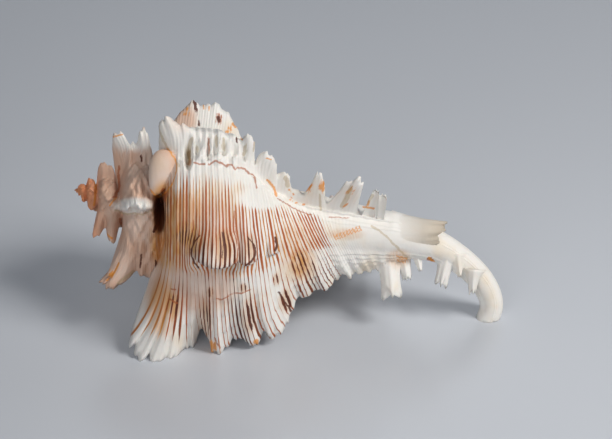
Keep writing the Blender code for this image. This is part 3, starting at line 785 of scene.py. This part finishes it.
# Olive-brown strokes: an ochre line along the crest's left edge, and painted shade in the crest valleys, the
# canal's groove and below the spire's frill.
OLIVE_AND_SHADE_STROKES = (
    (1.0, (162, 128), (166, 140), (172, 150), (183, 168)), (2.2, (195, 141), (191.5, 152), (192, 165)),
    (1.3, (200, 147), (200.5, 153)), (1.5, (219, 139), (219.5, 149)), (1.5, (226, 141), (226.5, 152)),
    (1.9, (247, 147), (246, 156)), (1.9, (257, 145), (256, 153)), (2.2, (286, 178), (288, 186)),
    (1.2, (319.5, 195), (320.5, 210)), (2.4, (350, 188), (346, 199), (341, 207)),
    (2.0, (371, 196), (365, 204)), (1.1, (371, 226), (381, 232), (391, 242), (407, 258)),
    (1.5, (120, 283), (135, 271)),
    (0.8, (117, 210), (123, 213), (131, 214.5), (138, 213), (146, 215), (156, 210)),
)


def dashes(half, start, end, stride, count):
    """A row of equal dashes: half width, ends of the first dash, and the stride from dash to dash."""
    row = []
    for k in range(count):
        moved = [(across + stride[0] * k, down + stride[1] * k) for across, down in (start, end)]
        row.append((half, *moved))
    return tuple(row)


ORANGE_STROKES += dashes(0.55, (333.0, 235.5), (335.5, 239.5), (3.2, -1.2), 9)
ORANGE_STROKES += dashes(0.5, (396.0, 255.0), (397.5, 261.0), (2.6, 0.8), 5)

# Patches that change a mask: weight, seen middle (across, down), half width and height.
LINE_FADES = ((0.85, 262, 199, 30, 14), (0.9, 205, 112, 60, 34))
TINT_PATCHES = (
    (1.2, 168, 206, 17, 30), (0.9, 190, 238, 22, 20), (0.9, 166, 240, 18, 30), (0.6, 190, 212, 24, 28),
    (0.3, 228, 246, 36, 26), (0.7, 164, 306, 20, 40), (0.7, 174, 254, 26, 22), (0.4, 345, 234, 24, 8),
    (0.4, 300, 240, 30, 28), (0.5, 350, 196, 10, 14), (0.5, 398, 258, 16, 12), (0.4, 300, 265, 26, 20),
)
PINK_PATCHES = ((0.8, 166, 174, 21, 28), (0.7, 205, 225, 56, 34))
LAST_WHORL_PINK = ((0.8, 190, 286, 64, 34), (0.9, 185, 120, 16, 20))
PINK_FADES = ((0.4, 163, 176, 18, 30), (0.85, 138, 206, 30, 10), (0.8, 136, 140, 30, 14))
WHITE_PATCHES = (
    (0.9, 155, 350, 36, 24), (1.0, 136, 140, 30, 14), (1.0, 138, 206, 28, 9), (1.0, 262, 199, 30, 14),
)
KNOB_RUST = (193, 240, 18, 30)
# Lobes of the knob that spread the cords: seen middle across, half width and share.
KNOB_SPREAD = ((218.0, 23.0, 0.2), (249.0, 8.0, 0.3))

WHITE = (0.86, 0.84, 0.80)
CREAM = (0.84, 0.74, 0.60)
PINK = (0.68, 0.44, 0.32)
APEX_ORANGE = (0.80, 0.30, 0.13)
OCHRE = (0.78, 0.40, 0.10)
TINT = (0.66, 0.34, 0.12)
RUST = (0.42, 0.11, 0.03)
# Dark rust of the darkest lines and strokes, also used as painted shade below the knob's edge, in the suture
# hollow and in a crest valley.
DARK_RUST_AND_SHADE = (0.10, 0.022, 0.010)
SPOT_ORANGE = (0.78, 0.30, 0.04)
MOUTH_WHITE = (0.82, 0.76, 0.70)
MOUTH_ORANGE = (0.80, 0.45, 0.26)
# Beige of the old canal's broken end, with painted shade: the mask darkens it towards the end.
OLD_END_BEIGE_AND_SHADE = (0.50, 0.42, 0.32)
# Olive-brown, partly the shell's own ochre, partly painted shade in valleys and grooves.
OLIVE_AND_SHADE = (0.50, 0.38, 0.20)

# Each stroke layer: name, strokes, colour and cover.
STROKES = (
    ("OliveAndShadeStrokes", OLIVE_AND_SHADE_STROKES, OLIVE_AND_SHADE, 0.5), ("OrangeStrokes", ORANGE_STROKES, SPOT_ORANGE, 0.8),
    ("RustStrokes", RUST_STROKES, RUST, 0.75), ("DarkStrokes", DARK_STROKES, DARK_RUST_AND_SHADE, 0.95),
)
# Each mask layer: name and the masks in its four channels.
MARKS = (
    ("MarksA", ("stripes", "rust", "tint", "dark")),
    ("MarksB", ("pink", "orange", "white", "inside")),
    ("MarksC", ("stub", "orange_spot", "rust_spot", "front")),
)


def patch(skin, row):
    """1 in the middle of a soft oval patch on the front-view grid, 0 outside it."""
    middle_across, middle_down, half_across, half_down = row
    distance = np.hypot((skin.across - middle_across) / half_across, (skin.down - middle_down) / half_down)
    return 1.0 - smooth(distance, 0.45, 1.0)


def spots(skin, rows):
    return np.max([patch(skin, row) for row in rows], axis=0)


def weighted(skin, rows):
    """One patch times its weight for each row."""
    return [weight * patch(skin, row) for weight, *row in rows]


def faded(mask, skin, rows):
    """A mask made weaker in patches of the front."""
    for share in weighted(skin, rows):
        mask = mask * (1.0 - share * skin.front)
    return mask


def nearest_stroke(skin, rows):
    """Offset to the nearest stroke, distance to it and its half width."""
    across, down = skin.across, skin.down
    least = np.full(across.shape, 1e3)
    nearest = np.zeros((len(across), 4))
    for half, *points in rows:
        for start, end in zip(points, points[1:]):
            along = np.subtract(end, start)
            share = ((across - start[0]) * along[0] + (down - start[1]) * along[1]) / np.dot(along, along)
            share = np.clip(share, 0.0, 1.0)
            aside = start[0] + share * along[0] - across
            below = start[1] + share * along[1] - down
            distance = np.hypot(aside, below)
            nearer = distance - half < least
            least[nearer] = (distance - half)[nearer]
            nearest[nearer] = np.stack([aside, below, distance, np.full_like(aside, half)], axis=1)[nearer]
    return nearest


def skin_values(mesh):
    """What the colour masks are worked out from, for each vertex."""
    cords = vertex_values(mesh, "Cords")
    zones = vertex_values(mesh, "Zones")
    world = np.empty(len(mesh.vertices) * 3)
    mesh.vertices.foreach_get("co", world)
    grid = to_grid(world.reshape(-1, 3))
    normals = np.empty_like(world)
    mesh.vertices.foreach_get("normal", normals)
    facing = normals[2::3] * math.sin(ROLL) - normals[1::3] * math.cos(ROLL)
    skin = SimpleNamespace(u=cords[:, 0], back=cords[:, 1], zone=zones[:, 0], share=zones[:, 1])
    skin.across, skin.down = grid[:, 0] + APEX[0], APEX[1] - grid[:, 1]
    skin.last = (skin.back < 360.0) | (skin.across > CANAL_START)
    skin.is_mouth = (skin.zone > 1.5) & (skin.zone < 2.5)
    skin.is_stub = skin.zone > 2.5
    skin.outside = ~(skin.is_mouth | skin.is_stub)
    skin.front = smooth(grid[:, 2], -45.0, -15.0) * smooth(facing, -0.1, 0.12) * skin.outside
    skin.within = smooth(skin.u, 90.0, 97.0) * (1.0 - smooth(skin.u, 235.0, 275.0))
    return skin


def line_masks(skin):
    """Strength of the lines between the cords, their darkness, and the bands where both are strong."""
    u, back = skin.u, skin.back
    upper = smooth(-back, -228.0, -200.0) * smooth(back, 150.0, 165.0)
    middle = 0.45 * smooth(-back, -164.0, -158.0) * smooth(back, 128.0, 150.0)
    lower = from_table(u, SKIRT_LINES) * smooth(-back, -150.0, -130.0)
    lines = (upper + middle + lower) * skin.within
    lines = np.maximum(lines, 0.5 * smooth(back, 300.0, 312.0) * skin.within)
    lines = faded(lines, skin, LINE_FADES)
    bands = spots(skin, LINE_BANDS) * skin.front
    lines = np.maximum(lines, bands)
    lines *= 1.0 - 0.8 * smooth(skin.down, 322.0, 345.0) * (1.0 - smooth(skin.across, 180.0, 200.0))
    lines = np.where(skin.last & skin.outside, lines, 0.0)

    knob = hump(u, 114, 188, 0.5) * ridge(back, KNOB_EDGE, 30.0, 5.0, 1.2)
    rust = np.where(back < 155.0, from_table(u, SKIRT_DARKNESS), 0.25 + 0.75 * knob)
    rust = np.maximum(rust, 0.75 * patch(skin, KNOB_RUST) * skin.front)
    return lines, np.maximum(rust, bands), bands


def tint_mask(skin, bands):
    tint = (sum(weighted(skin, TINT_PATCHES)) + 0.5 * bands) * skin.front
    return tint + 0.3 * (skin.back > 290.0) * skin.last * skin.within


def painted_shade_mask(skin):
    # Painted shade: a dark band below the knob's overhanging leading edge, and dark spots in the suture
    # hollow and a crest valley.
    under = hump(skin.back, KNOB_EDGE - 4.5, KNOB_EDGE + 1.0, 1.0) * hump(skin.u, 118, 188, 0.35) * 0.5
    dark = np.maximum(under * skin.last, spots(skin, SHADE_SPOTS) * skin.front)
    return np.where(skin.outside, dark, 0.0)


def pink_mask(skin):
    near_spire = 0.25 * smooth(skin.back, 270.0, 285.0) * (1.0 - smooth(skin.across, 190.0, 205.0))
    pink = np.where(skin.last, near_spire, 1.0)
    for share in weighted(skin, PINK_PATCHES):
        pink = np.maximum(pink, share * skin.front)
    for share in weighted(skin, LAST_WHORL_PINK):
        pink = np.maximum(pink, share * skin.front * skin.last)
    return faded(pink, skin, PINK_FADES)


def add_layer(mesh, name, values):
    layer = mesh.color_attributes.new(name=name, type="FLOAT_COLOR", domain="POINT")
    layer.data.foreach_set("color", values.astype(np.float32).ravel())


def paint_masks(mesh):
    """The colour masks of each vertex, as layers of the mesh."""
    skin = skin_values(mesh)
    lines, rust, bands = line_masks(skin)
    masks = {
        "stripes": lines,
        "rust": rust,
        "tint": tint_mask(skin, bands),
        # painted shade below the knob's edge and in hollows
        "dark": painted_shade_mask(skin),
        "pink": pink_mask(skin),
        "orange": 1.0 - smooth(skin.across, 86.0, 108.0),
        "white": sum(weighted(skin, WHITE_PATCHES)) + 0.7 * hump(skin.back, 224.0, 262.0, 0.5) * skin.last,
        "inside": skin.is_mouth,
        # painted shade over the stub's own beige, growing towards its broken end
        "stub": skin.is_stub * smooth(skin.share, 0.3, 1.0),
        "orange_spot": spots(skin, ORANGE_SPOTS) * skin.front,
        "rust_spot": spots(skin, RUST_SPOTS) * skin.front,
        "front": skin.front,
    }
    for name, keys in MARKS:
        add_layer(mesh, name, np.clip(np.stack([masks[key] for key in keys], axis=1), 0.0, 1.0))
    for name, rows, _, _ in STROKES:
        add_layer(mesh, name, nearest_stroke(skin, rows))


class Nodes:
    """Short calls for building a node tree."""

    def __init__(self, tree):
        self.tree = tree

    def new(self, kind, **settings):
        node = self.tree.nodes.new(kind)
        for key, value in settings.items():
            setattr(node, key, value)
        return node

    def link(self, source, socket):
        self.tree.links.new(source, socket)

    def feed(self, value, socket):
        if isinstance(value, (int, float)):
            socket.default_value = value
        elif isinstance(value, tuple):
            socket.default_value = (*value, 1.0)[:4]
        else:
            self.link(value, socket)

    def math(self, operation, *values, clamp=False):
        node = self.new("ShaderNodeMath", operation=operation, use_clamp=clamp)
        for value, socket in zip(values, node.inputs):
            self.feed(value, socket)
        return node.outputs[0]

    def times(self, first, second):
        return self.math("MULTIPLY", first, second)

    def plus(self, first, second):
        return self.math("ADD", first, second)

    def minus(self, first, second):
        return self.math("SUBTRACT", first, second)

    def step(self, value, low, high, to_low=0.0, to_high=1.0):
        node = self.new("ShaderNodeMapRange", interpolation_type="SMOOTHSTEP")
        for item, socket in zip((value, low, high, to_low, to_high), node.inputs):
            self.feed(item, socket)
        return node.outputs[0]

    def mix(self, share, first, second):
        node = self.new("ShaderNodeMix", data_type="RGBA")
        self.feed(share, node.inputs[0])
        self.feed(first, node.inputs[6])
        self.feed(second, node.inputs[7])
        return node.outputs[2]

    def noise(self, vector, scale, detail, roughness=0.5):
        node = self.new("ShaderNodeTexNoise", noise_dimensions="3D")
        self.link(vector, node.inputs["Vector"])
        node.inputs["Scale"].default_value = scale
        node.inputs["Detail"].default_value = detail
        node.inputs["Roughness"].default_value = roughness
        return node.outputs["Fac"]

    def vector(self, x, y):
        node = self.new("ShaderNodeCombineXYZ")
        self.feed(x, node.inputs[0])
        self.feed(y, node.inputs[1])
        return node.outputs[0]

    def split(self, vector):
        node = self.new("ShaderNodeSeparateXYZ")
        self.link(vector, node.inputs[0])
        return tuple(node.outputs)

    def layer(self, name):
        """The four channels of a colour layer of the mesh."""
        source = self.new("ShaderNodeAttribute", attribute_name=name)
        parts = self.new("ShaderNodeSeparateColor")
        self.link(source.outputs["Color"], parts.inputs[0])
        return (*tuple(parts.outputs)[:3], source.outputs["Alpha"])


def stroke_share(n, name, shaken):
    """1 on the strokes of a layer made by nearest_stroke, 0 away from them."""
    aside, below, least, half = n.layer(name)
    x = n.plus(aside, shaken)
    y = n.minus(below, shaken)
    distance = n.math("SQRT", n.plus(n.times(x, x), n.times(y, y)))
    return n.times(n.step(n.minus(distance, half), 0.45, -0.45), n.step(least, 3.2, 2.2))


def front_view(n, place):
    """The front-view place (across, down) of a point on the surface."""
    x, y, z = n.split(place)
    across = n.plus(n.math("DIVIDE", x, STEP), APEX[0] + FOOTPRINT_CENTRE[0] / STEP)
    lift = APEX[1] - math.sin(ROLL) * FOOTPRINT_CENTRE[1] / STEP - math.cos(ROLL) * REST_LEVEL
    raised = n.plus(n.times(y, math.sin(ROLL) / STEP), n.times(z, math.cos(ROLL) / STEP))
    return across, n.minus(lift, raised)


def knob_bend(n, across, down):
    """How far the cords are spread sideways by the lobes of the knob."""
    level = n.times(n.step(down, 226.0, 250.0), n.step(down, 272.0, 262.0))
    total = 0.0
    for middle, half, share in KNOB_SPREAD:
        offset = n.minus(across, middle)
        window = n.step(n.math("ABSOLUTE", offset), 1.5 * half, 0.85 * half, 0.0, share)
        total = n.plus(n.times(offset, window), total)
    return n.times(total, level)


def cord_lines(n, marks, cord, back, place):
    """The lines between the cords: phase and wave across them, their broken strength, and their cover."""
    wander = n.noise(n.vector(n.times(cord, 0.5), n.times(back, 0.035)), 1.1, 2.0)
    broken = n.noise(n.vector(n.times(cord, 0.6), n.times(back, 0.07)), 1.0, 3.0, 0.6)
    drift = n.times(n.minus(wander, 0.5), 0.35)
    across, down = front_view(n, place)
    bend = n.times(knob_bend(n, across, down), marks["front"])
    phase = n.plus(n.math("DIVIDE", n.minus(cord, bend), CORD_SPACING), drift)
    wave = n.times(n.math("PINGPONG", phase, 0.5), 2.0)
    random = n.new("ShaderNodeTexWhiteNoise", noise_dimensions="1D")
    n.link(n.math("FLOOR", n.plus(phase, 0.5)), random.inputs["W"])
    strength = n.plus(n.times(random.outputs["Value"], 0.3), n.times(broken, 0.7))
    level = n.times(strength, marks["stripes"])
    half_width = n.step(level, 0.05, 0.7, 0.0, 0.62)
    gate = n.step(n.minus(wave, half_width), 0.10, -0.10)
    cover = n.math("MULTIPLY", gate, n.step(level, 0.08, 0.22), clamp=True)
    return phase, wave, broken, strength, cover


def ground_colour(n, marks, broad, broken):
    """The colour of the shell between its lines."""
    base = n.mix(n.step(broad, 0.45, 0.75), WHITE, CREAM)
    base = n.mix(n.times(marks["pink"], n.step(broad, 0.2, 0.55, 0.6, 0.95)), base, PINK)
    base = n.mix(n.times(marks["orange"], 0.9), base, APEX_ORANGE)
    base = n.mix(n.times(marks["tint"], n.step(broken, 0.25, 0.6, 0.35, 1.0)), base, TINT)
    return n.mix(n.times(marks["white"], 0.85), base, WHITE)


def line_colour(n, marks, strength):
    shade = n.plus(n.times(marks["rust"], 0.75), n.times(strength, 0.8))
    colour = n.mix(n.step(shade, 0.25, 0.7), OCHRE, RUST)
    return n.mix(n.step(shade, 0.75, 1.2), colour, DARK_RUST_AND_SHADE)


def with_spots(n, marks, colour, fine, wave):
    """Spots with uneven edges that follow the cords, then the painted shade of the dark mask."""
    uneven = n.plus(n.times(n.minus(fine, 0.5), 2.4), n.times(n.minus(0.5, wave), 0.5))
    for key, paint in (("orange_spot", SPOT_ORANGE), ("rust_spot", RUST)):
        rough_edge = n.plus(marks[key], uneven)
        share = n.times(n.step(rough_edge, 0.3, 0.9), n.step(marks[key], 0.0, 0.3, 0.0, 0.85))
        colour = n.mix(share, colour, paint)
    # the dark mask is painted shade, laid over everything else
    return n.mix(n.times(n.step(marks["dark"], 0.2, 0.8), 0.95), colour, DARK_RUST_AND_SHADE)


def with_strokes(n, marks, colour, fine):
    shaken = n.times(n.minus(fine, 0.5), 3.0)
    # The olive strokes are partly painted shade in valleys and grooves.
    for name, _, paint, cover in STROKES:
        share = n.times(stroke_share(n, name, shaken), n.times(marks["front"], cover))
        colour = n.mix(share, colour, paint)
    return colour


def skin_bump(n, marks, cord, phase, fine):
    """The ribs of the cords and a fine grain."""
    ribs = n.times(n.math("COSINE", n.times(phase, 2 * math.pi)), 0.5)
    ribbed = n.times(n.minus(1.0, marks["inside"]), n.step(cord, 300.0, 240.0, 0.0, 0.5))
    bump = n.new("ShaderNodeBump")
    bump.inputs["Strength"].default_value = 0.45
    bump.inputs["Distance"].default_value = 0.0004
    n.link(n.plus(n.times(ribs, ribbed), n.times(fine, 0.9)), bump.inputs["Height"])
    return bump.outputs[0]


def shell_material():
    material = bpy.data.materials.new("shell_skin")
    material.use_nodes = True
    n = Nodes(material.node_tree)
    surface = material.node_tree.nodes["Principled BSDF"]
    cord, back, _ = n.split(n.new("ShaderNodeUVMap", uv_map="Cords").outputs[0])
    place = n.new("ShaderNodeTexCoord").outputs["Object"]
    marks = {}
    for name, keys in MARKS:
        marks.update(zip(keys, n.layer(name)))
    broad = n.noise(place, 55.0, 3.0, 0.55)
    fine = n.noise(place, 420.0, 4.0, 0.6)

    phase, wave, broken, strength, cover = cord_lines(n, marks, cord, back, place)
    colour = n.mix(cover, ground_colour(n, marks, broad, broken), line_colour(n, marks, strength))
    colour = with_spots(n, marks, colour, fine, wave)
    colour = with_strokes(n, marks, colour, fine)
    # painted shade over the old canal's own beige, towards its broken end
    colour = n.mix(n.times(marks["stub"], 0.85), colour, OLD_END_BEIGE_AND_SHADE)
    lining = n.mix(n.step(broad, 0.35, 0.7), MOUTH_WHITE, MOUTH_ORANGE)
    n.link(n.mix(marks["inside"], colour, lining), surface.inputs["Base Color"])
    n.link(skin_bump(n, marks, cord, phase, fine), surface.inputs["Normal"])
    n.link(n.step(broad, 0.3, 0.7, 0.42, 0.58), surface.inputs["Roughness"])
    surface.inputs["Specular IOR Level"].default_value = 0.3
    surface.inputs["Subsurface Weight"].default_value = 0.06
    surface.inputs["Subsurface Radius"].default_value = (0.0012, 0.0006, 0.0004)
    surface.inputs["Subsurface Scale"].default_value = 1.0
    return material


FLOOR_HALF = 4.0
FLOOR_COLOUR = (0.56, 0.59, 0.64, 1.0)
FLOOR_ROUGHNESS = 0.26
# Each light: name, place, size, power and colour.
LIGHTS = (
    ("key", (0.85, -0.45, 1.0), (0.5, 0.5), 13.5, (1.0, 0.97, 0.93)),
    ("front", (-0.35, -1.25, 0.7), (1.0, 0.7), 6.0, (1.0, 0.98, 0.96)),
    ("back", (0.3, 1.1, 0.9), (1.2, 0.6), 2.6, (0.93, 0.96, 1.0)),
)
LIT_POINT = (0.0, 0.0, 0.04)
ROOM_COLOUR = (0.55, 0.60, 0.68, 1.0)
ROOM_STRENGTH = 0.17


def floor_material():
    material = bpy.data.materials.new("floor")
    material.use_nodes = True
    surface = material.node_tree.nodes["Principled BSDF"]
    surface.inputs["Base Color"].default_value = FLOOR_COLOUR
    surface.inputs["Roughness"].default_value = FLOOR_ROUGHNESS
    return material


def add_floor():
    half = FLOOR_HALF
    corners = [(-half, -half, 0.0), (half, -half, 0.0), (half, half, 0.0), (-half, half, 0.0)]
    floor = linked("floor", new_mesh("floor", corners, [(0, 1, 2, 3)]))
    floor.data.materials.append(floor_material())


def add_light(name, place, size, power, colour):
    data = bpy.data.lights.new(name, "AREA")
    data.shape = "RECTANGLE"
    data.size, data.size_y = size
    data.energy = power
    data.color = colour
    lamp = linked(name, data)
    lamp.location = place
    lamp.rotation_euler = (Vector(LIT_POINT) - Vector(place)).to_track_quat("-Z", "Y").to_euler()


def add_lights():
    for row in LIGHTS:
        add_light(*row)
    world = bpy.data.worlds.new("studio")
    world.use_nodes = True
    world.node_tree.nodes["Background"].inputs["Color"].default_value = ROOM_COLOUR
    world.node_tree.nodes["Background"].inputs["Strength"].default_value = ROOM_STRENGTH
    bpy.context.scene.world = world
    bpy.context.scene.view_settings.view_transform = "Standard"


IMAGE_WIDTH = 612
IMAGE_CENTRE = (306.0, 219.5)
LENS = 135.0
SENSOR = 36.0


def add_camera():
    data = bpy.data.cameras.new("camera")
    data.lens = LENS
    data.sensor_width = SENSOR
    camera = linked("camera", data)
    target = Vector(to_world([grid_point(*IMAGE_CENTRE, 0.0)])[0])
    towards = Vector((0.0, -math.cos(ROLL), math.sin(ROLL)))
    camera.location = target + towards * (IMAGE_WIDTH * STEP * LENS / SENSOR)
    camera.rotation_euler = (-towards).to_track_quat("-Z", "Y").to_euler()
    bpy.context.scene.camera = camera


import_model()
shell = fine_shell()
paint_masks(shell.data)
shell.data.materials.clear()
shell.data.materials.append(shell_material())
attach(shell, "root")
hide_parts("shell")
add_floor()
add_lights()
add_camera()
print("fine shell triangles:", sum(len(p.vertices) - 2 for p in shell.data.polygons))
